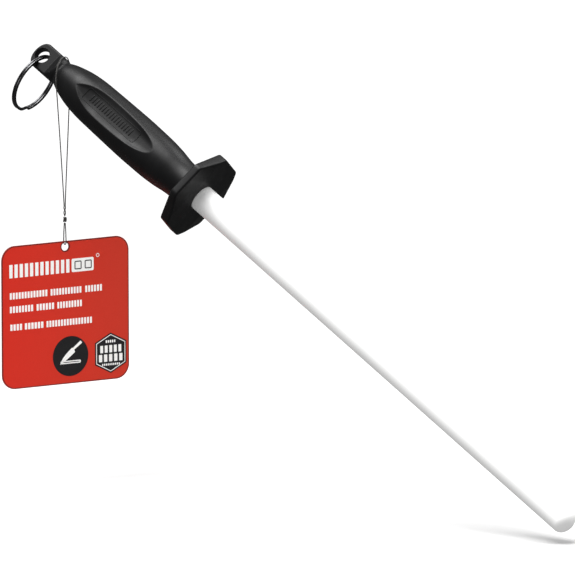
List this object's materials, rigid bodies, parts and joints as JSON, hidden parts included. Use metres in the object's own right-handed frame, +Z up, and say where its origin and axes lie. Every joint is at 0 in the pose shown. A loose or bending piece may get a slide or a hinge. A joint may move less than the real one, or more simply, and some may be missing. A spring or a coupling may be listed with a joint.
{
  "type": "ceramic honing rod",
  "caption": "Round white ceramic honing rod in a black moulded handle with an eight-sided finger guard, a split ring through its eye and a card tag on a string.",
  "frame": {"origin": "on the rod's axis at the middle of the grip, where a hand holds it", "axes": "+Z up; the rod's axis lies in the XZ plane, its tip pointing +X and 31.5 degrees down; the tag hangs along -Z; -Y is the side with the grip panel seen first"},
  "size_m": [0.3242, 0.0634, 0.2004],
  "materials": {
    "ceramic": "fine matt ground ceramic, white",
    "elastomer": "soft black elastomer",
    "moulding": "satin black moulded plastic with a fine grain",
    "ring_wire": "dark polished nickel",
    "string": "fine dark twisted thread",
    "tag_card": "red printed card, satin",
    "tag_print_light": "white print",
    "tag_print_dark": "black print"
  },
  "bodies": {
    "steel": {"ceramic_rod": "ceramic", "rod_sleeve": "elastomer", "rod_end_pad": "elastomer", "finger_guard": "moulding", "handle_body": "moulding"},
    "ring": {"hang_ring": "ring_wire"},
    "string": {"tag_string_upper": "string", "string_knot": "string"},
    "tag_loop": {"tag_string_lower": "string"},
    "tag": {"tag_card": "tag_card"}
  },
  "joints": [
    {"name": "ring_swing", "type": "hinge", "parent": "steel", "child": "ring", "pos_m": [-0.04502, 0, 0.02759], "axis": [0, 1, 0], "range_deg": [-36, 240]},
    {"name": "string_swing", "type": "hinge", "parent": "steel", "child": "string", "pos_m": [-0.03283, 0, 0.02012], "axis": [0.8526, 0, -0.5225], "range_deg": [-35, 35]},
    {"name": "tag_turn", "type": "hinge", "parent": "string", "child": "tag_loop", "pos_m": [-0.03283, 0, -0.05033], "axis": [0, 0, 1], "range_deg": [-180, 180]},
    {"name": "tag_swing", "type": "hinge", "parent": "tag_loop", "child": "tag", "pos_m": [-0.03283, 0, -0.06083], "axis": [0.9219, -0.3875, 0], "range_deg": [-30, 30]}
  ]
}
